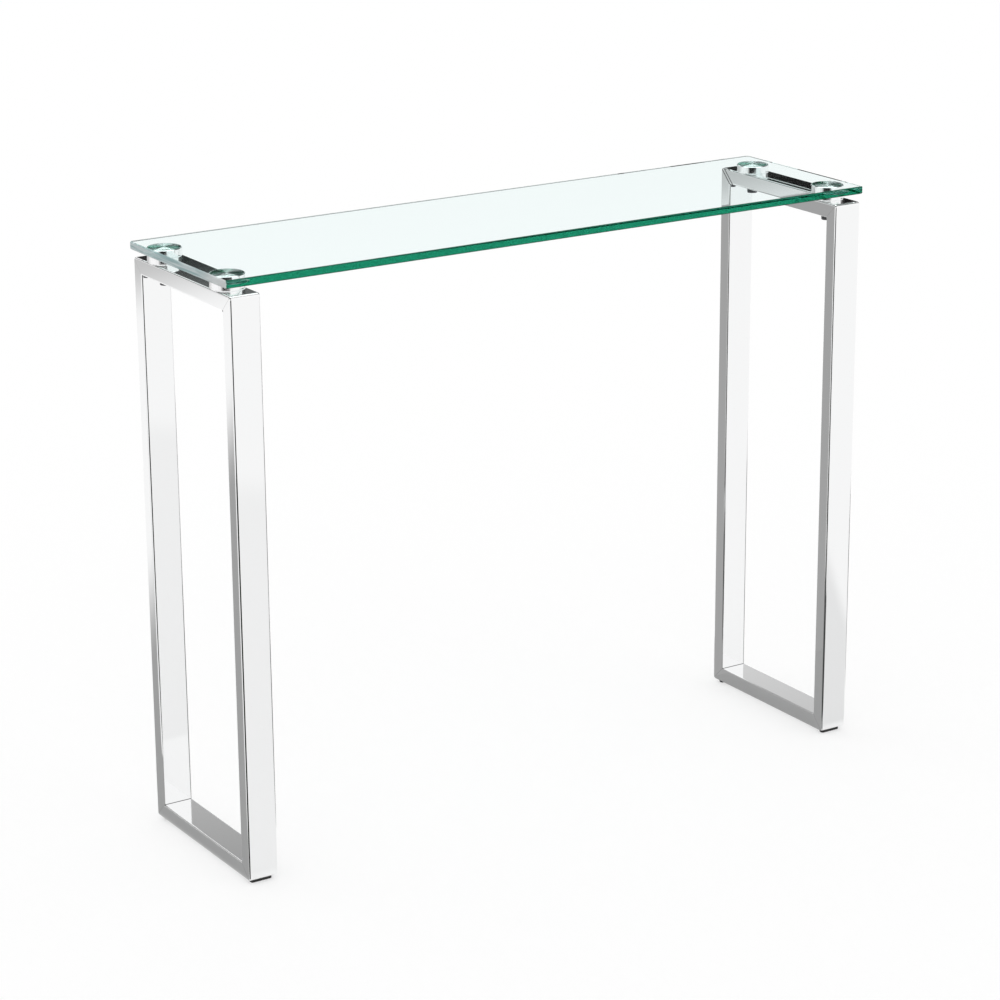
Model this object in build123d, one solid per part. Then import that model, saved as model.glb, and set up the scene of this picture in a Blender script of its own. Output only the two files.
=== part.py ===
from build123d import *
import os

# Console table. A glass plate is bonded to four turned metal discs, which are bolted to two closed
# leg frames of mitred rectangular tube. Millimetres, +Z up, +X to the right and +Y to the back.
# The origin is on the floor, under the middle of the glass.

# Overall sizes
TABLE_LENGTH = 940.0
TABLE_DEPTH = 250.0
TABLE_HEIGHT = 762.0
GLASS_THICKNESS = 10.0
GLASS_OVERHANG = 5.0
STANDOFF_GAP = 10.0
FOOT_THICKNESS = 5.0

# Glass edges
GLASS_CORNER_RADIUS = 3.0
GLASS_ARRIS = 1.2

# Tube of the leg frames: its width lies along X
TUBE_WIDTH = 40.0
TUBE_DEPTH = 20.0
TUBE_WALL = 1.5
TUBE_EDGE_RADIUS = 2.2
FRAME_CORNER_RADIUS = 4.0
MITRE_MARGIN = 1.0

# Turned discs and their bond to the glass
DISC_DIAMETER = 43.0
DISC_INSET = 44.0
DISC_CHAMFER = 0.7
BOND_THICKNESS = 0.2
BOND_MARGIN = 1.0
THREAD_BORE = 8.0
THREAD_DEPTH = 7.5

# M8 hexagon head screw, with its washers and the sleeve inside the rail
SCREW_DIAMETER = 7.9
SCREW_LENGTH = 30.0
SCREW_TIP_CHAMFER = 0.8
HEAD_SIDES = 6
HEAD_ACROSS_FLATS = 13.0
HEAD_ACROSS_CORNERS = 15.0
HEAD_HEIGHT = 5.3
HEAD_CHAMFER = 0.9
CLEARANCE_BORE = 8.4
FLAT_WASHER_DIAMETER = 16.0
FLAT_WASHER_THICKNESS = 1.6
SPRING_WASHER_DIAMETER = 12.7
SPRING_WASHER_THICKNESS = 2.0
SPRING_WASHER_SLIT = 0.8
SPRING_WASHER_SLANT = 20.0
SLEEVE_DIAMETER = 12.0

# Foot pads, pushed into the bottom rails by a peg with a barbed end
FOOT_WIDTH = 29.0
FOOT_DEPTH = 8.0
FOOT_CORNER_RADIUS = 3.0
FOOT_CHAMFER = 0.6
FOOT_INSET = 5.5
PEG_BORE = 5.0
PEG_DIAMETER = 4.9
BARB_DIAMETER = 5.8
BARB_LENGTH = 4.0
BARB_TIP_DIAMETER = 3.6

# Levels and places that follow from the sizes above
FRAME_HEIGHT = TABLE_HEIGHT - GLASS_THICKNESS - STANDOFF_GAP - FOOT_THICKNESS
FRAME_BOTTOM = FOOT_THICKNESS
FRAME_TOP = FRAME_BOTTOM + FRAME_HEIGHT
FRAME_MIDDLE = (FRAME_BOTTOM + FRAME_TOP) / 2
RAIL_UNDERSIDE = FRAME_TOP - TUBE_DEPTH
GLASS_UNDERSIDE = TABLE_HEIGHT - GLASS_THICKNESS
DISC_HEIGHT = STANDOFF_GAP - BOND_THICKNESS
HEAD_SEAT = RAIL_UNDERSIDE - FLAT_WASHER_THICKNESS - SPRING_WASHER_THICKNESS
LEG_X = TABLE_LENGTH / 2 - GLASS_OVERHANG - TUBE_WIDTH / 2
DISC_Y = TABLE_DEPTH / 2 - DISC_INSET
FOOT_Y = TABLE_DEPTH / 2 - FOOT_INSET - FOOT_DEPTH / 2

SIDES = {"left": -LEG_X, "right": LEG_X}
ENDS = {"front": -1, "back": 1}


def ring(outer_diameter, bore, height):
    """A plain tube standing on the XY plane."""
    return extrude(Circle(outer_diameter / 2) - Circle(bore / 2), height)


def glass_top():
    """The plate, with rounded corners and a small chamfer round its upper and lower edges."""
    plate = extrude(RectangleRounded(TABLE_LENGTH, TABLE_DEPTH, GLASS_CORNER_RADIUS), GLASS_THICKNESS)
    levels = plate.edges().group_by(Axis.Z)
    plate = chamfer(levels[0] + levels[-1], GLASS_ARRIS)
    return Pos(0, 0, GLASS_UNDERSIDE) * plate


def leg_frame():
    """One closed frame of hollow tube, centred on X, before it is divided at the mitres."""
    outline = RectangleRounded(TABLE_DEPTH, FRAME_HEIGHT, FRAME_CORNER_RADIUS)
    window = Rectangle(TABLE_DEPTH - 2 * TUBE_DEPTH, FRAME_HEIGHT - 2 * TUBE_DEPTH)
    frame = extrude(Plane.YZ * (outline - window), TUBE_WIDTH / 2, both=True)
    across = frame.edges().group_by(Axis.X)
    frame = fillet(across[0] + across[-1], TUBE_EDGE_RADIUS)

    hollow_outline = RectangleRounded(
        TABLE_DEPTH - 2 * TUBE_WALL,
        FRAME_HEIGHT - 2 * TUBE_WALL,
        FRAME_CORNER_RADIUS - TUBE_WALL,
    )
    hollow_window = Rectangle(
        TABLE_DEPTH - 2 * TUBE_DEPTH + 2 * TUBE_WALL,
        FRAME_HEIGHT - 2 * TUBE_DEPTH + 2 * TUBE_WALL,
    )
    hollow = extrude(Plane.YZ * (hollow_outline - hollow_window), TUBE_WIDTH / 2 - TUBE_WALL, both=True)
    return Pos(0, 0, FRAME_MIDDLE) * (frame - hollow)


def mitre_wedge(turns):
    """The space of one member between its two 45 degree cuts: 0 top, 1 front, 2 bottom, 3 back."""
    half_depth = TABLE_DEPTH / 2
    half_height = FRAME_HEIGHT / 2
    outside = MITRE_MARGIN
    inside = TUBE_DEPTH + MITRE_MARGIN
    corners = [(-1, 1), (-1, -1), (1, -1), (1, 1)]
    first = corners[turns - 1]
    last = corners[turns]
    points = [(y * (half_depth + outside), z * (half_height + outside)) for y, z in (first, last)]
    points += [(y * (half_depth - inside), z * (half_height - inside)) for y, z in (last, first)]
    wedge = extrude(Plane.YZ * make_face(Polyline(*points, close=True)), TUBE_WIDTH, both=True)
    return Pos(0, 0, FRAME_MIDDLE) * wedge


def leg_members():
    """The four tubes of one frame, with the screw holes and the foot holes, centred on X."""
    frame = leg_frame()
    for direction in ENDS.values():
        screw_hole = Cylinder(CLEARANCE_BORE / 2, 2 * TUBE_DEPTH)
        frame -= Pos(0, direction * DISC_Y, FRAME_TOP - TUBE_DEPTH / 2) * screw_hole
        foot_hole = Cylinder(PEG_BORE / 2, 2 * TUBE_WALL)
        frame -= Pos(0, direction * FOOT_Y, FRAME_BOTTOM + TUBE_WALL / 2) * foot_hole
    names = ["top_rail", "front_post", "bottom_rail", "back_post"]
    return {name: frame & mitre_wedge(turns) for turns, name in enumerate(names)}


def standoff_disc():
    """A turned disc on the rail, with a blind threaded hole from below."""
    disc = Cylinder(DISC_DIAMETER / 2, DISC_HEIGHT, align=(Align.CENTER, Align.CENTER, Align.MIN))
    levels = disc.edges().group_by(Axis.Z)
    disc = chamfer(levels[0] + levels[-1], DISC_CHAMFER)
    bore = Cylinder(THREAD_BORE / 2, THREAD_DEPTH, align=(Align.CENTER, Align.CENTER, Align.MIN))
    return Pos(0, 0, FRAME_TOP) * (disc - bore)


def bond_film():
    """The clear adhesive between a disc and the glass."""
    film = extrude(Circle(DISC_DIAMETER / 2 - DISC_CHAMFER - BOND_MARGIN), BOND_THICKNESS)
    return Pos(0, 0, GLASS_UNDERSIDE - BOND_THICKNESS) * film


def screw():
    """A screw that points up, with the corners of its hexagonal head turned off below."""
    shank = Cylinder(SCREW_DIAMETER / 2, SCREW_LENGTH, align=(Align.CENTER, Align.CENTER, Align.MIN))
    shank = chamfer(shank.edges().group_by(Axis.Z)[-1], SCREW_TIP_CHAMFER)
    hexagon = RegularPolygon(HEAD_ACROSS_FLATS / 2, HEAD_SIDES, major_radius=False)
    turned = extrude(Circle(HEAD_ACROSS_CORNERS / 2), HEAD_HEIGHT)
    turned = chamfer(turned.edges().group_by(Axis.Z)[0], HEAD_CHAMFER)
    head = extrude(hexagon, HEAD_HEIGHT) & turned
    return Pos(0, 0, HEAD_SEAT) * (shank + Pos(0, 0, -HEAD_HEIGHT) * head)


def flat_washer():
    """The wide washer against the underside of a rail."""
    washer = ring(FLAT_WASHER_DIAMETER, CLEARANCE_BORE, FLAT_WASHER_THICKNESS)
    return Pos(0, 0, RAIL_UNDERSIDE - FLAT_WASHER_THICKNESS) * washer


def spring_washer():
    """The split washer between a screw head and its flat washer, with a slanted slit."""
    washer = ring(SPRING_WASHER_DIAMETER, CLEARANCE_BORE, SPRING_WASHER_THICKNESS)
    slit = Box(SPRING_WASHER_DIAMETER, SPRING_WASHER_SLIT, 4 * SPRING_WASHER_THICKNESS)
    middle = SPRING_WASHER_THICKNESS / 2
    washer -= Pos(SPRING_WASHER_DIAMETER / 2, 0, middle) * Rot(SPRING_WASHER_SLANT, 0, 0) * slit
    return Pos(0, 0, HEAD_SEAT) * washer


def spacer_sleeve():
    """The tube inside a top rail, from its lower wall to its upper wall."""
    sleeve = ring(SLEEVE_DIAMETER, CLEARANCE_BORE, TUBE_DEPTH - 2 * TUBE_WALL)
    return Pos(0, 0, RAIL_UNDERSIDE + TUBE_WALL) * sleeve


def foot_pad():
    """A narrow pad with a peg on top, whose barb holds inside the bottom rail's lower wall."""
    pad = extrude(RectangleRounded(FOOT_WIDTH, FOOT_DEPTH, FOOT_CORNER_RADIUS), FOOT_THICKNESS)
    pad = chamfer(pad.edges().group_by(Axis.Z)[0], FOOT_CHAMFER)
    peg = extrude(Circle(PEG_DIAMETER / 2), TUBE_WALL)
    barb = loft([Circle(BARB_DIAMETER / 2), Pos(0, 0, BARB_LENGTH) * Circle(BARB_TIP_DIAMETER / 2)])
    return pad + Pos(0, 0, FOOT_THICKNESS) * peg + Pos(0, 0, FOOT_THICKNESS + TUBE_WALL) * barb


def write(name, shape):
    """Saves one node under its name."""
    shape.label = name
    export_step(shape, os.path.join("parts", name + ".step"))


def main():
    os.makedirs("parts", exist_ok=True)
    write("glass_top", glass_top())

    members = leg_members()
    for side, x in SIDES.items():
        for name, tube in members.items():
            write(f"{side}_leg_{name}", Pos(x, 0, 0) * tube)

    corners = {
        f"{end}_{side}": (x, direction) for side, x in SIDES.items() for end, direction in ENDS.items()
    }
    at_discs = {name: Pos(x, direction * DISC_Y, 0) for name, (x, direction) in corners.items()}
    at_feet = {name: Pos(x, direction * FOOT_Y, 0) for name, (x, direction) in corners.items()}

    for corner in corners:
        write(f"standoff_disc_{corner}", at_discs[corner] * standoff_disc())
        write(f"bond_film_{corner}", at_discs[corner] * bond_film())
        write(f"spacer_sleeve_{corner}", at_discs[corner] * spacer_sleeve())
        write(f"foot_pad_{corner}", at_feet[corner] * foot_pad())

    fasteners = {
        "standoff_bolts": screw(),
        "flat_washers": flat_washer(),
        "spring_washers": spring_washer(),
    }
    for name, shape in fasteners.items():
        write(name, Compound([place * shape for place in at_discs.values()]))


main()
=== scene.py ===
import math

import bpy
from mathutils import Matrix, Vector


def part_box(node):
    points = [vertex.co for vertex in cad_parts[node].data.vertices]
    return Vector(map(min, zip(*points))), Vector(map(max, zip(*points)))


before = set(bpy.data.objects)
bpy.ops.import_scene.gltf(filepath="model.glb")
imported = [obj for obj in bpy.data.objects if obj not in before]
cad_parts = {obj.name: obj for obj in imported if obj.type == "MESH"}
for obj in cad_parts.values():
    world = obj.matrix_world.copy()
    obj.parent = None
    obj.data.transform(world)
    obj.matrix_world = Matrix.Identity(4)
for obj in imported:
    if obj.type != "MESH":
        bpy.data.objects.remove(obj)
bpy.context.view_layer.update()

# Camera, in metres and degrees: azimuth 0 looks along +Y
CAMERA_PLACE = Vector((-2.0576, -3.1953, 1.5876))
CAMERA_AZIMUTH = -32.559
CAMERA_ELEVATION = 17.606
CAMERA_ROLL = -0.384
CAMERA_LENS = 110.475
SENSOR_WIDTH = 36.0

# White, the level part of a place, and the middle of a piece's box from above
WHITE = (1, 1, 1, 1)
LEVEL = (1, 1, 0)
BOX_MIDDLE = (0.5, 0.5, 0)

# Glass: what it absorbs over a metre, and what its faces keep when they mirror light inside it
GLASS_IOR = 1.52
GLASS_MIRROR_POWER = 4.0
GLASS_ABSORPTION = (0.02, 0.777, 0.721, 1.0)
GLASS_DENSITY = 7.0
GLASS_INNER_MIRROR = (0.535, 0.78, 0.69, 1.0)
GLASS_BACK_MIRROR = (0.46, 0.48, 0.475, 1.0)
GLASS_END_MIRROR = (0.85, 0.88, 0.87, 1.0)
GLASS_CORNER = (0.65, 0.67, 0.665, 1.0)
FAR_EDGE_DEPTH = 0.0015
CORNER_REACH = 0.003
BOND_REACH = 0.0005

# Ground parts of the glass: its two short ends, with a painted highlight that makes them paler towards the
# front, and the arris edges of its long sides, painted dark green as painted shade. From here on, a grain
# is the scale and the detail of a noise, and a range is where a change starts and ends
END_PALE = (0.88, 0.99, 1.0, 1.0)
END_DEEP = (0.48, 0.68, 0.69, 1.0)
# Painted highlight: the near-white that the ground ends turn to towards the front, and the depths over
# which they do so
END_PAINTED_HIGHLIGHT = (0.97, 1.0, 1.0, 1.0)
END_PAINTED_HIGHLIGHT_DEPTHS = (-0.05, -0.1)
END_SHARE = 0.65
END_STRETCH = (1, 0.25, 6)
END_GRAIN = (60.0, 4.0)
END_GRAIN_RANGE = (0.35, 0.65)
END_FACING_RANGE = (0.5, 0.65)
# Painted shade: the dark green given to the arris edges of the long sides, and how much of them it covers
ARRIS_PAINTED_SHADE = (0.012, 0.12, 0.075, 1.0)
ARRIS_SHADE_SHARE = 0.9
ARRIS_LOW_RANGE = (0.3, 0.5)
ARRIS_HIGH_RANGE = (0.95, 0.85)
GROUND_ROUGHNESS = 0.35
GROUND_SPECULAR = 0.15

# Polished tube, the seams at its mitres, and the bead along one of them
POLISHED_STEEL = (0.955, 0.958, 0.96, 1.0)
POLISHED_ROUGHNESS = (0.035, 0.065)
HAZE_GRAIN = (60.0, 3.0)
SEAM_STEEL = (0.06, 0.06, 0.062, 1.0)
SEAM_ROUGHNESS = 0.4
SEAM_HALF_WIDTH = 0.0005
SEAM_CORE = 0.3
SEAM_ON_SIDES = 0.25
SIDE_FACING_RANGE = (0.3, 0.7)
BEAD_WIDTH = 0.0065
BEAD_HALF_LINE = 0.0018
BEAD_SHARE = 0.95

# Turned discs: rings on the face, a share of which leans out and the rest in, and rings round the side
TURNED_STEEL = (0.97, 0.972, 0.975, 1.0)
TURNED_ROUGHNESS = (0.1, 0.17)
TURNED_ANISOTROPY = 0.9
TURNED_ROTATION = 0.25
TURNING_PITCH = 0.0004
FACE_SLOPES = (-0.17, 0.34)
FACE_LEAN = 0.58
FACE_RANGE = (0.9, 0.99)
SIDE_SLOPE = 0.03
SIDE_RANGE = (0.1, 0.01)

# Fasteners, adhesive and rubber
BLACKENED_STEEL = (0.09, 0.09, 0.095, 1.0)
BLACKENED_ROUGHNESS = (0.25, 0.45)
OXIDE_GRAIN = (900.0, 2.0)
FILM_THICK = (0.975, 0.99, 0.985, 1.0)
FILM_THIN = (0.995, 1.0, 1.0, 1.0)
FILM_GRAIN = (120.0, 2.0)
RUBBER_BLACK = (0.01, 0.01, 0.01, 1.0)
RUBBER_ROUGHNESS = (0.5, 0.75)
RUBBER_GRAIN = (1500.0, 3.0)
RUBBER_GRAIN_RANGE = (0.3, 0.7)
RUBBER_BUMP = 0.2
RUBBER_BUMP_DEPTH = 0.0002
DUSTY_BLACK = (0.028, 0.027, 0.026, 1.0)
DUST_GRAIN = (90.0, 5.0)
DUST_RANGE = (0.45, 0.75)

# Studio, in metres
FLOOR_HALF_SIDE = 16.0
FLOOR_ALBEDO = 0.55
BOUNCES = 32

# Rays that show what only the metal mirrors: limits that lie between whole numbers of bounces
METAL_MIRRORS = (0.5, 2.5)
MATT_BOUNCES = 0.5

# Floor that the metal mirrors: white, and less so far behind the table
FADE_DEPTHS = (2.45, 3.0)
FADED_LEVEL = 0.58

# Grey on that floor: a panel behind the left leg, between two lines, and one beside the right leg's foot
GREY_LEVEL = 0.37
GREY_FRONT = -0.125
GREY_SOFTNESS = 0.01
LEFT_GREY_SIDE = -0.468
LEFT_GREY_OUTER_LINE = (Vector((-0.6, -0.125, 0)), Vector((-1.44, 1.5, 0)))
LEFT_GREY_INNER_LINE = (Vector((-0.839, 0.893, 0)), Vector((-2.274, 2.9, 0)))
LEFT_GREY_SOFTNESS = 0.05
RIGHT_GREY_SIDES = (-0.1, 0.435)
RIGHT_GREY_BACK = 0.3

# Grey patches that the right-hand edges of the legs mirror. The left one is measured across the sight line
# that the faces mirror. The right one begins at a line that the right leg's faces don't reach
LEFT_PATCH_ACROSS = (0.839, 0.545, 0)
LEFT_PATCH_EDGES = (-0.27, 0.24)
RIGHT_PATCH_LINE = (Vector((1.084, -0.682, 0)), Vector((0.48, 0.115, 0)))
RIGHT_PATCH_SIDE = 1.55
PATCH_DEPTHS = (-0.7, 0.3)
PATCH_LEVEL = 0.2

# Floor before the table, as the metal mirrors it: a painted shadow that makes it a little grey close by,
# more so to the right, and dark wedges that open from the front edges of the legs. Each wedge has its tip,
# the angles of its two sides and its reach
FRONT_LINE = (Vector((0.947, -0.929, 0)), Vector((0.404, -1.484, 0)))
FRONT_SOFTNESS = 0.1
NEAR_FRONT = -0.15
NEAR_SHADOW_LEVELS = (0.84, 0.93)
NEAR_MIDDLE_LINE = (Vector((0.03, -0.125, 0)), Vector((0.575, -0.964, 0)))
NEAR_MIDDLE_SOFTNESS = 0.35
NEAR_END_LINE = (Vector((0.53, -0.137, 0)), Vector((1.075, -0.976, 0)))
WEDGES = (
    (Vector((-0.465, -0.13, 0)), (-165.0, -140.0), (-84.0, -90.0), 16.0),
    (Vector((-0.465, -0.13, 0)), (-176.0, -164.0), (-78.0, -84.0), 1.7),
    (Vector((0.425, -0.13, 0)), (-178.0, -172.0), (-105.0, -112.0), 0.55),
)
WEDGE_LEVEL = 0.02

# Cards that only the metal shows: a dark one before the right leg and a grey one behind it
DARK_CARD_FOOT = (Vector((-0.12, -0.17, 0)), Vector((0.242, -0.632, 0)))
DARK_CARD_HEIGHT = 0.58
DARK_CARD_LEVEL = 0.03
GREY_CARD_FOOT = (Vector((0.19, 0.14, 0)), Vector((0.42, 0.14, 0)))
GREY_CARD_HEIGHT = 0.685

# Walls and overhead light that the metal mirrors: brightness against the sine of the elevation
WALL_STOPS = (
    (0.0, 1.0),
    (0.16, 1.0),
    (0.19, 0.01),
    (0.226, 0.005),
    (0.238, 0.2),
    (0.255, 0.02),
    (0.31, 0.02),
    (0.34, 0.72),
    (0.41, 0.35),
    (0.46, 0.06),
    (0.74, 0.06),
    (0.8, 1.0),
    (0.84, 1.8),
)

# White openings in those walls: the direction of each, and the share of it at which it begins and is full
WINDOWS = (
    ((0.53, -0.85, 0.0), (0.62, 0.78)),
    ((0.0, 0.81, 0.585), (0.95, 0.975)),
)


def node(tree, kind, inputs=None, **settings):
    """Adds a node with its settings. An input is a constant, or a socket to link to."""
    made = tree.nodes.new("ShaderNode" + kind)
    for name, value in settings.items():
        setattr(made, name, value)
    for name, value in (inputs or {}).items():
        if isinstance(value, bpy.types.NodeSocket):
            tree.links.new(value, made.inputs[name])
        else:
            made.inputs[name].default_value = value
    return made


def new_material(name):
    """An empty node material: the material, its tree and its output node."""
    made = bpy.data.materials.new(name)
    made.use_nodes = True
    tree = made.node_tree
    tree.nodes.clear()
    return made, tree, node(tree, "OutputMaterial")


def maths(tree, operation, first, second=0.0):
    """The result of one sum on two numbers or sockets."""
    return node(tree, "Math", {0: first, 1: second}, operation=operation).outputs[0]


def product(tree, first, *others):
    """All the numbers or sockets, multiplied."""
    for other in others:
        first = maths(tree, "MULTIPLY", first, other)
    return first


def remainder(tree, share):
    """What a share leaves of one."""
    return maths(tree, "SUBTRACT", 1.0, share)


def apart(tree, first, second):
    """How far two numbers or sockets are apart."""
    return maths(tree, "ABSOLUTE", maths(tree, "SUBTRACT", first, second))


def vectors(tree, operation, first, second=(0, 0, 0)):
    """The result of one sum on two vectors or sockets."""
    return node(tree, "VectorMath", {0: first, 1: second}, operation=operation).outputs[0]


def length(tree, vector):
    """How long a vector is."""
    return node(tree, "VectorMath", {0: vector}, operation="LENGTH").outputs["Value"]


def dot(tree, first, second):
    """How far one vector goes along another."""
    return node(tree, "VectorMath", {0: first, 1: second}, operation="DOT_PRODUCT").outputs["Value"]


def along_axes(tree, vector):
    """The three numbers of a vector."""
    return tuple(node(tree, "SeparateXYZ", {0: vector}).outputs)


def ramp(tree, value, start, end, low=0.0, high=1.0):
    """Goes smoothly from low to high while the value goes from start to end."""
    inputs = {"Value": value, "From Min": start, "From Max": end, "To Min": low, "To Max": high}
    return node(tree, "MapRange", inputs, interpolation_type="SMOOTHSTEP").outputs[0]


def past(tree, value, edge, softness):
    """One where the value is past an edge, and nought before it."""
    return ramp(tree, value, edge - softness, edge + softness)


def blend(tree, share, first, second):
    """Mixes two numbers or sockets."""
    return node(tree, "Mix", {"Factor": share, "A": first, "B": second}).outputs["Result"]


def blend_colours(tree, share, first, second):
    """Mixes two colours or sockets."""
    inputs = {"Factor": share, "A": first, "B": second}
    return node(tree, "Mix", inputs, data_type="RGBA").outputs["Result"]


def noise(tree, place, grain):
    """A random pattern of smooth patches, from nought to one."""
    scale, detail = grain
    return node(tree, "TexNoise", {"Vector": place, "Scale": scale, "Detail": detail}).outputs[0]


def right_of(tree, place, line, softness):
    """One where a place is to the right of a line, seen along it from above."""
    start, end = line
    along = (end - start).normalized()
    right = Vector((along.y, -along.x, 0))
    return past(tree, dot(tree, place, right), start.dot(right), softness)


def polished_glass(tree, inside, place):
    """Glass that bends light, and mirrors it where it can't get out."""
    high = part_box("glass_top")[1]
    x, y, _ = along_axes(tree, place)
    at_end = maths(tree, "GREATER_THAN", x, high.x - FAR_EDGE_DEPTH)
    at_back = maths(tree, "GREATER_THAN", y, high.y - FAR_EDGE_DEPTH)
    inner_tint = blend_colours(tree, at_end, GLASS_INNER_MIRROR, GLASS_END_MIRROR)
    inner_tint = blend_colours(tree, at_back, inner_tint, GLASS_BACK_MIRROR)
    tint = blend_colours(tree, inside, WHITE, inner_tint)
    fresnel = node(tree, "Fresnel", {"IOR": GLASS_IOR})
    share = maths(tree, "POWER", fresnel.outputs[0], GLASS_MIRROR_POWER)
    bend = node(tree, "BsdfRefraction", {"IOR": GLASS_IOR, "Roughness": 0.0, "Color": WHITE})
    mirror = node(tree, "BsdfAnisotropic", {"Roughness": 0.0, "Color": tint})
    return node(tree, "MixShader", {0: share, 1: bend.outputs[0], 2: mirror.outputs[0]})


def bonded_share(tree, place):
    """One on the underside of the glass where a film bonds it to a disc."""
    low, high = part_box("bond_film_back_right")
    middle = (low + high) / 2
    middle.z = 0
    level = vectors(tree, "MULTIPLY", vectors(tree, "ABSOLUTE", place), LEVEL)
    radius = length(tree, vectors(tree, "SUBTRACT", level, middle))
    under_film = maths(tree, "LESS_THAN", radius, (high.x - low.x) / 2)
    at_bottom = maths(tree, "LESS_THAN", along_axes(tree, place)[2], high.z + BOND_REACH)
    return product(tree, under_film, at_bottom)


def corner_share(tree, place, inside):
    """One inside the rounded far corner."""
    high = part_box("glass_top")[1]
    x, y, _ = along_axes(tree, place)
    along_end = maths(tree, "GREATER_THAN", x, high.x - CORNER_REACH)
    along_back = maths(tree, "GREATER_THAN", y, high.y - CORNER_REACH)
    return product(tree, along_end, along_back, inside)


def clear_glass():
    """Glass that takes up red light, so that it is green where light crosses much of it.

    Its short ends are ground to a pale satin, with a painted highlight that makes them palest towards the
    front. The arris edges of its long sides are ground too, and painted dark green as painted shade. Light
    goes straight on where a film bonds it to a disc, and out of its far corner.
    """
    made, tree, output = new_material("clear_glass")
    geometry = node(tree, "NewGeometry")
    inside = geometry.outputs["Backfacing"]
    place = node(tree, "TexCoord").outputs["Object"]
    clear = polished_glass(tree, inside, place)
    corner = corner_share(tree, place, inside)
    passed = blend_colours(tree, corner, WHITE, GLASS_CORNER)
    straight = node(tree, "BsdfRefraction", {"IOR": 1.0, "Roughness": 0.0, "Color": passed})
    unbent = maths(tree, "MAXIMUM", bonded_share(tree, place), corner)
    open_glass = node(tree, "MixShader", {0: unbent, 1: clear.outputs[0], 2: straight.outputs[0]})

    streaks = noise(tree, vectors(tree, "MULTIPLY", place, END_STRETCH), END_GRAIN)
    end_colour = blend_colours(tree, ramp(tree, streaks, *END_GRAIN_RANGE), END_DEEP, END_PALE)
    # Painted highlight: the ground ends grow paler towards the front
    front_highlight = ramp(tree, along_axes(tree, place)[1], *END_PAINTED_HIGHLIGHT_DEPTHS)
    end_colour = blend_colours(tree, front_highlight, end_colour, END_PAINTED_HIGHLIGHT)
    facing = vectors(tree, "ABSOLUTE", geometry.outputs["Normal"])
    facing_x, _, facing_z = along_axes(tree, facing)
    ends = ramp(tree, facing_x, *END_FACING_RANGE)
    # Painted shade: where the arris edges of the long sides take the dark green
    arris_shade = product(tree, *(ramp(tree, facing_z, *edge) for edge in (ARRIS_LOW_RANGE, ARRIS_HIGH_RANGE)))
    colour = blend_colours(tree, ends, ARRIS_PAINTED_SHADE, end_colour)
    satin = node(
        tree,
        "BsdfPrincipled",
        {"Base Color": colour, "Roughness": GROUND_ROUGHNESS, "Specular IOR Level": GROUND_SPECULAR},
    )
    ground = blend(tree, ends, product(tree, arris_shade, ARRIS_SHADE_SHARE), END_SHARE)
    ground = product(tree, ground, remainder(tree, inside))
    both = node(tree, "MixShader", {0: ground, 1: open_glass.outputs[0], 2: satin.outputs[0]})
    volume = node(tree, "VolumeAbsorption", {"Color": GLASS_ABSORPTION, "Density": GLASS_DENSITY})
    tree.links.new(both.outputs[0], output.inputs["Surface"])
    tree.links.new(volume.outputs[0], output.inputs["Volume"])
    return made


def seam_share(tree, place):
    """How much a place on a leg frame is part of a welded mitre.

    The mitre at the top and back of the right leg has a bead between two lines.
    """
    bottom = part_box("left_leg_bottom_rail")[0].z
    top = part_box("left_leg_top_rail")[1].z
    inside, outside = (corner.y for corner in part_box("left_leg_back_post"))
    middle_z = (bottom + top) / 2
    square_off = (top - middle_z) - outside
    x, y, z = along_axes(tree, place)
    from_centre = maths(tree, "ABSOLUTE", y)
    off_mitre = maths(tree, "SUBTRACT", apart(tree, z, middle_z), from_centre)
    off_mitre = maths(tree, "SUBTRACT", off_mitre, square_off)
    facing = vectors(tree, "ABSOLUTE", node(tree, "NewGeometry").outputs["Normal"])
    on_sides = ramp(tree, along_axes(tree, facing)[0], *SIDE_FACING_RANGE)

    reach = SEAM_HALF_WIDTH * math.sqrt(2)
    line = ramp(tree, maths(tree, "ABSOLUTE", off_mitre), reach, SEAM_CORE * reach)
    inner_faces = maths(tree, "LESS_THAN", from_centre, inside + reach)
    seam = product(tree, line, blend(tree, on_sides, inner_faces, SEAM_ON_SIDES))

    corner = product(
        tree,
        maths(tree, "GREATER_THAN", x, 0.0),
        maths(tree, "GREATER_THAN", y, 0.0),
        maths(tree, "GREATER_THAN", z, middle_z),
    )
    from_middle = apart(tree, off_mitre, BEAD_WIDTH / 2)
    bead = ramp(tree, apart(tree, from_middle, BEAD_WIDTH / 2), BEAD_HALF_LINE, SEAM_CORE * BEAD_HALF_LINE)
    return maths(tree, "MAXIMUM", seam, product(tree, bead, on_sides, corner, BEAD_SHARE))


def polished_steel():
    """Mirror-polished tube, with a faint haze and dull seams at its mitres."""
    made, tree, output = new_material("polished_steel")
    place = node(tree, "TexCoord").outputs["Object"]
    haze = blend(tree, noise(tree, place, HAZE_GRAIN), *POLISHED_ROUGHNESS)
    seam = seam_share(tree, place)
    steel = node(
        tree,
        "BsdfPrincipled",
        {
            "Base Color": blend_colours(tree, seam, POLISHED_STEEL, SEAM_STEEL),
            "Metallic": 1.0,
            "Roughness": blend(tree, seam, haze, SEAM_ROUGHNESS),
        },
    )
    tree.links.new(steel.outputs[0], output.inputs["Surface"])
    return made


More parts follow.
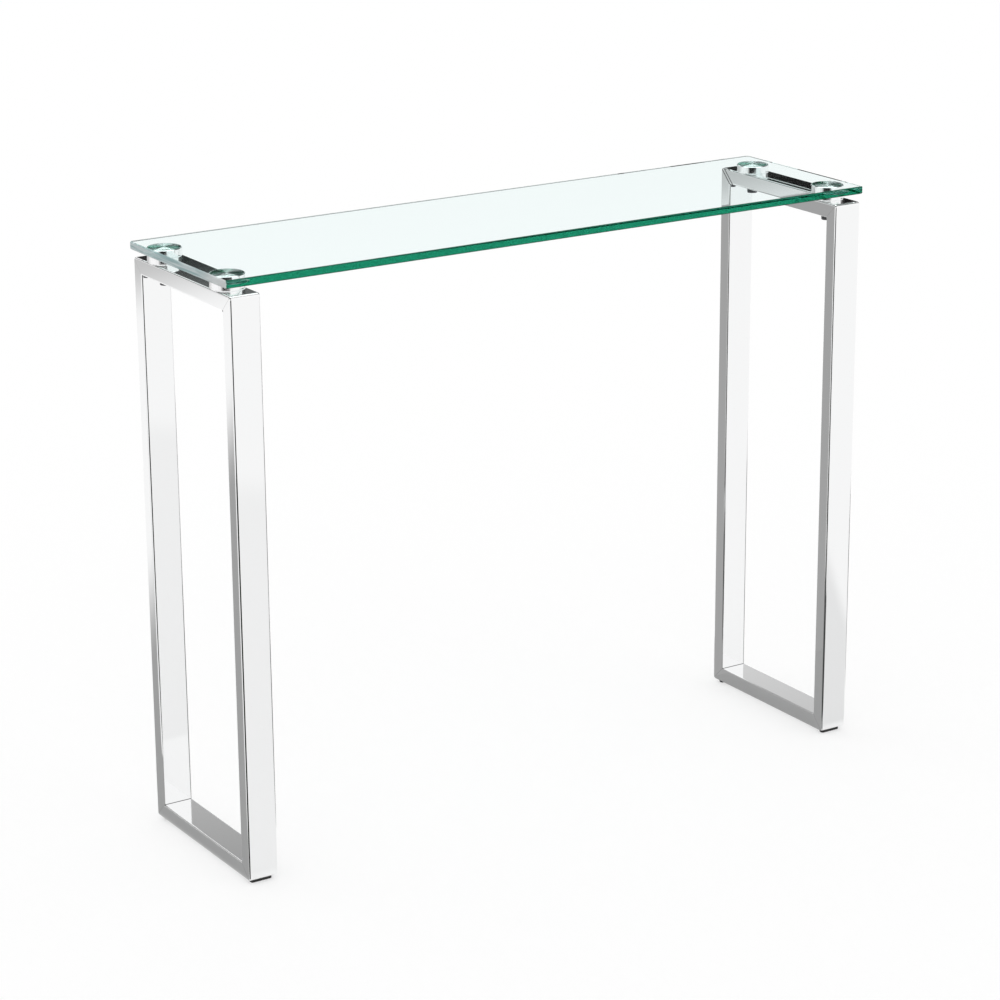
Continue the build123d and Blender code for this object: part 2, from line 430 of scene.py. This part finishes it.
def turned_steel():
    """Turned metal: rings on its face that lean out or in, and rings round its side."""
    made, tree, output = new_material("turned_steel")
    low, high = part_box("standoff_disc_back_right")
    normal = node(tree, "NewGeometry").outputs["Normal"]
    upward = along_axes(tree, normal)[2]
    face = ramp(tree, upward, *FACE_RANGE)
    side = ramp(tree, maths(tree, "ABSOLUTE", upward), *SIDE_RANGE)

    share_of_box = node(tree, "TexCoord").outputs["Generated"]
    across = vectors(tree, "SUBTRACT", vectors(tree, "MULTIPLY", share_of_box, LEVEL), BOX_MIDDLE)
    outward = vectors(tree, "NORMALIZE", across)
    radius = product(tree, length(tree, across), high.x - low.x)
    height = product(tree, along_axes(tree, share_of_box)[2], high.z - low.z)
    ring = maths(tree, "FRACT", product(tree, radius, 1 / TURNING_PITCH))
    face_slope = blend(tree, maths(tree, "LESS_THAN", ring, FACE_LEAN), *FACE_SLOPES)
    side_wave = maths(tree, "SINE", product(tree, height, 2 * math.pi / TURNING_PITCH))
    side_slope = product(tree, side_wave, SIDE_SLOPE, side)
    lean_out = {0: outward, "Scale": product(tree, face_slope, face)}
    leaning_out = node(tree, "VectorMath", lean_out, operation="SCALE")
    leaning_up = node(tree, "CombineXYZ", {"Z": side_slope})
    leaning = vectors(tree, "ADD", leaning_out.outputs[0], leaning_up.outputs[0])
    tilted = vectors(tree, "NORMALIZE", vectors(tree, "ADD", normal, leaning))

    steel = node(
        tree,
        "BsdfPrincipled",
        {
            "Base Color": TURNED_STEEL,
            "Metallic": 1.0,
            "Roughness": blend(tree, face, *TURNED_ROUGHNESS),
            "Anisotropic": TURNED_ANISOTROPY,
            "Anisotropic Rotation": TURNED_ROTATION,
            "Tangent": node(tree, "Tangent", direction_type="RADIAL", axis="Z").outputs[0],
            "Normal": tilted,
        },
    )
    tree.links.new(steel.outputs[0], output.inputs["Surface"])
    return made


def blackened_steel():
    """Black oxide on the fasteners."""
    made, tree, output = new_material("blackened_steel")
    place = node(tree, "TexCoord").outputs["Object"]
    rough = blend(tree, noise(tree, place, OXIDE_GRAIN), *BLACKENED_ROUGHNESS)
    inputs = {"Base Color": BLACKENED_STEEL, "Metallic": 1.0, "Roughness": rough}
    steel = node(tree, "BsdfPrincipled", inputs)
    tree.links.new(steel.outputs[0], output.inputs["Surface"])
    return made


def clear_adhesive():
    """The cured film under the glass, a little thicker in places."""
    made, tree, output = new_material("clear_adhesive")
    place = node(tree, "TexCoord").outputs["Object"]
    colour = blend_colours(tree, noise(tree, place, FILM_GRAIN), FILM_THICK, FILM_THIN)
    film = node(tree, "BsdfTransparent", {"Color": colour})
    tree.links.new(film.outputs[0], output.inputs["Surface"])
    return made


def black_rubber():
    """Moulded rubber, with dust in its grain."""
    made, tree, output = new_material("black_rubber")
    place = node(tree, "TexCoord").outputs["Object"]
    grain = noise(tree, place, RUBBER_GRAIN)
    dust = ramp(tree, noise(tree, place, DUST_GRAIN), *DUST_RANGE)
    bump = node(tree, "Bump", {"Height": grain, "Strength": RUBBER_BUMP, "Distance": RUBBER_BUMP_DEPTH})
    rubber = node(
        tree,
        "BsdfPrincipled",
        {
            "Base Color": blend_colours(tree, dust, RUBBER_BLACK, DUSTY_BLACK),
            "Roughness": ramp(tree, grain, *RUBBER_GRAIN_RANGE, *RUBBER_ROUGHNESS),
            "Normal": bump.outputs[0],
        },
    )
    tree.links.new(rubber.outputs[0], output.inputs["Surface"])
    return made


def dress():
    """Gives every node the material of its kind."""
    kinds = {
        "glass_top": clear_glass(),
        "left_leg": polished_steel(),
        "standoff_disc": turned_steel(),
        "standoff_bolts": blackened_steel(),
        "bond_film": clear_adhesive(),
        "foot_pad": black_rubber(),
    }
    kinds["right_leg"] = kinds["left_leg"]
    for kind in ("flat_washers", "spring_washers", "spacer_sleeve"):
        kinds[kind] = kinds["standoff_bolts"]
    for name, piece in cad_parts.items():
        for kind, finish in kinds.items():
            if name.startswith(kind):
                piece.material_slots[0].material = finish


def add_camera():
    """The photograph's view, without shift."""
    azimuth, elevation, roll = (
        math.radians(angle) for angle in (CAMERA_AZIMUTH, CAMERA_ELEVATION, CAMERA_ROLL)
    )
    level = math.cos(elevation)
    back = Vector((math.sin(azimuth) * level, -math.cos(azimuth) * level, math.sin(elevation)))
    right = Vector((math.cos(azimuth), math.sin(azimuth), 0))
    up = back.cross(right)
    turned_right = right * math.cos(roll) + up * math.sin(roll)
    turned_up = up * math.cos(roll) - right * math.sin(roll)
    lens = bpy.data.cameras.new("camera")
    lens.lens = CAMERA_LENS
    lens.sensor_width = SENSOR_WIDTH
    camera = bpy.data.objects.new("camera", lens)
    bpy.context.scene.collection.objects.link(camera)
    turn = Matrix((turned_right, turned_up, back)).transposed().to_4x4()
    camera.matrix_world = Matrix.Translation(CAMERA_PLACE) @ turn
    bpy.context.scene.camera = camera


def stage_panel(name, corners, finish):
    """A four-cornered part of the studio."""
    mesh = bpy.data.meshes.new(name)
    mesh.from_pydata(corners, [], [(0, 1, 2, 3)])
    mesh.materials.append(finish)
    panel = bpy.data.objects.new(name, mesh)
    bpy.context.scene.collection.objects.link(panel)
    return panel


def in_metal(tree):
    """One for a ray that was mirrored once or twice, as by the metal, and that met nothing matt."""
    path = node(tree, "LightPath")
    fewest, most = METAL_MIRRORS
    mirrored = maths(tree, "GREATER_THAN", path.outputs["Glossy Depth"], fewest)
    shallow = maths(tree, "LESS_THAN", path.outputs["Glossy Depth"], most)
    direct = maths(tree, "LESS_THAN", path.outputs["Diffuse Depth"], MATT_BOUNCES)
    return product(tree, mirrored, shallow, direct)


def between(tree, value, edges, softness):
    """One where the value is between two edges."""
    low, high = (past(tree, value, edge, softness) for edge in edges)
    return product(tree, low, remainder(tree, high))


def grey_share(tree, place, x, y):
    """Where the floor beside and behind the legs is grey."""
    soft = GREY_SOFTNESS
    left = product(
        tree,
        remainder(tree, past(tree, x, LEFT_GREY_SIDE, soft)),
        right_of(tree, place, LEFT_GREY_OUTER_LINE, soft),
        remainder(tree, right_of(tree, place, LEFT_GREY_INNER_LINE, LEFT_GREY_SOFTNESS)),
    )
    right = product(
        tree,
        between(tree, x, RIGHT_GREY_SIDES, soft),
        remainder(tree, past(tree, y, RIGHT_GREY_BACK, soft)),
    )
    return product(tree, maths(tree, "MAXIMUM", left, right), past(tree, y, GREY_FRONT, soft))


def patch_share(tree, place, x, y):
    """Where the floor has the grey patches."""
    soft = GREY_SOFTNESS
    left = between(tree, dot(tree, place, LEFT_PATCH_ACROSS), LEFT_PATCH_EDGES, soft)
    from_line = right_of(tree, place, RIGHT_PATCH_LINE, soft)
    right = product(tree, from_line, remainder(tree, past(tree, x, RIGHT_PATCH_SIDE, soft)))
    return product(tree, maths(tree, "MAXIMUM", left, right), between(tree, y, PATCH_DEPTHS, soft))


def wedge_share(tree, place, tip, left_side, right_side, reach):
    """Where a dark wedge lies, its sides given as the angles at which they begin and end."""
    from_tip = vectors(tree, "SUBTRACT", place, tip)
    x, y, _ = along_axes(tree, from_tip)
    angle = maths(tree, "ARCTAN2", y, x)
    left = ramp(tree, angle, *(math.radians(edge) for edge in left_side))
    right = ramp(tree, angle, *(math.radians(edge) for edge in right_side))
    return product(tree, left, right, maths(tree, "LESS_THAN", length(tree, from_tip), reach))


def painted_near_shadow(tree, place, y):
    """The floor before the table as the metal mirrors it: white beyond it, and greyer close by with a
    painted shadow.
    """
    near_shadow = product(
        tree,
        # Painted shadow: the mirrored floor turns grey close before the table
        right_of(tree, place, FRONT_LINE, FRONT_SOFTNESS),
        remainder(tree, past(tree, y, NEAR_FRONT, GREY_SOFTNESS)),
        right_of(tree, place, NEAR_END_LINE, GREY_SOFTNESS),
    )
    level = blend(tree, right_of(tree, place, NEAR_MIDDLE_LINE, NEAR_MIDDLE_SOFTNESS), *NEAR_SHADOW_LEVELS)
    return blend(tree, near_shadow, 1.0, level)


def floor_tone(tree):
    """How bright the floor is where the metal mirrors it."""
    place = node(tree, "NewGeometry").outputs["Position"]
    x, y, _ = along_axes(tree, place)
    tone = product(tree, painted_near_shadow(tree, place, y), ramp(tree, y, *FADE_DEPTHS, 1.0, FADED_LEVEL))
    tone = blend(tree, grey_share(tree, place, x, y), tone, GREY_LEVEL)
    tone = blend(tree, patch_share(tree, place, x, y), tone, PATCH_LEVEL)
    for wedge in WEDGES:
        tone = blend(tree, wedge_share(tree, place, *wedge), tone, WEDGE_LEVEL)
    return tone


def add_floor():
    """A white floor that keeps the shadows."""
    half = FLOOR_HALF_SIDE
    made, tree, output = new_material("white_floor")
    path = node(tree, "LightPath")
    seen = maths(tree, "MAXIMUM", path.outputs["Is Camera Ray"], path.outputs["Is Glossy Ray"])
    seen = maths(tree, "MAXIMUM", seen, path.outputs["Is Transmission Ray"])
    tone = blend(tree, in_metal(tree), 1.0, floor_tone(tree))
    paint = node(tree, "BsdfDiffuse", {"Color": product(tree, tone, FLOOR_ALBEDO)})
    glow = node(tree, "Emission", {"Strength": product(tree, seen, tone, 1 - FLOOR_ALBEDO)})
    both = node(tree, "AddShader", {0: paint.outputs[0], 1: glow.outputs[0]})
    tree.links.new(both.outputs[0], output.inputs["Surface"])
    made.cycles.emission_sampling = "NONE"
    stage_panel("floor", [(-half, -half, 0), (half, -half, 0), (half, half, 0), (-half, half, 0)], made)


def add_card(name, foot, height, level):
    """An upright card that only reflections show."""
    made, tree, output = new_material(name)
    glow = node(tree, "Emission", {"Strength": level})
    tree.links.new(glow.outputs[0], output.inputs["Surface"])
    made.cycles.emission_sampling = "NONE"
    left, right = foot
    rise = Vector((0, 0, height))
    card = stage_panel(name, [left, right, right + rise, left + rise], made)
    card.visible_camera = False
    card.visible_diffuse = False
    card.visible_transmission = False
    card.visible_volume_scatter = False
    card.visible_shadow = False


def add_world():
    """White light from all round. Metal sees dark walls with white openings, and a lamp overhead."""
    world = bpy.data.worlds.new("studio")
    bpy.context.scene.world = world
    world.use_nodes = True
    tree = world.node_tree
    tree.nodes.clear()
    output = node(tree, "OutputWorld")
    direction = node(tree, "TexCoord").outputs["Generated"]
    walls = node(tree, "ValToRGB", {0: along_axes(tree, direction)[2]})
    elements = walls.color_ramp.elements
    for position, _ in WALL_STOPS[len(elements):]:
        elements.new(position)
    for element, (position, level) in zip(elements, WALL_STOPS):
        element.position = position
        element.color = (level, level, level, 1)
    tone = walls.outputs[0]
    for middle, edge in WINDOWS:
        tone = maths(tree, "MAXIMUM", tone, ramp(tree, dot(tree, direction, middle), *edge))
    tone = blend(tree, in_metal(tree), 1.0, tone)
    light = node(tree, "Background", {"Color": WHITE, "Strength": tone})
    tree.links.new(light.outputs[0], output.inputs["Surface"])


def set_bounces():
    """Light crosses the plate's length in many turns, and each film in several."""
    cycles = bpy.context.scene.cycles
    cycles.max_bounces = BOUNCES
    cycles.glossy_bounces = BOUNCES
    cycles.transmission_bounces = BOUNCES
    cycles.transparent_max_bounces = BOUNCES


dress()
add_camera()
add_floor()
add_card("dark_card", DARK_CARD_FOOT, DARK_CARD_HEIGHT, DARK_CARD_LEVEL)
add_card("grey_card", GREY_CARD_FOOT, GREY_CARD_HEIGHT, GREY_LEVEL)
add_world()
set_bounces()
bpy.context.scene.view_settings.view_transform = "Standard"
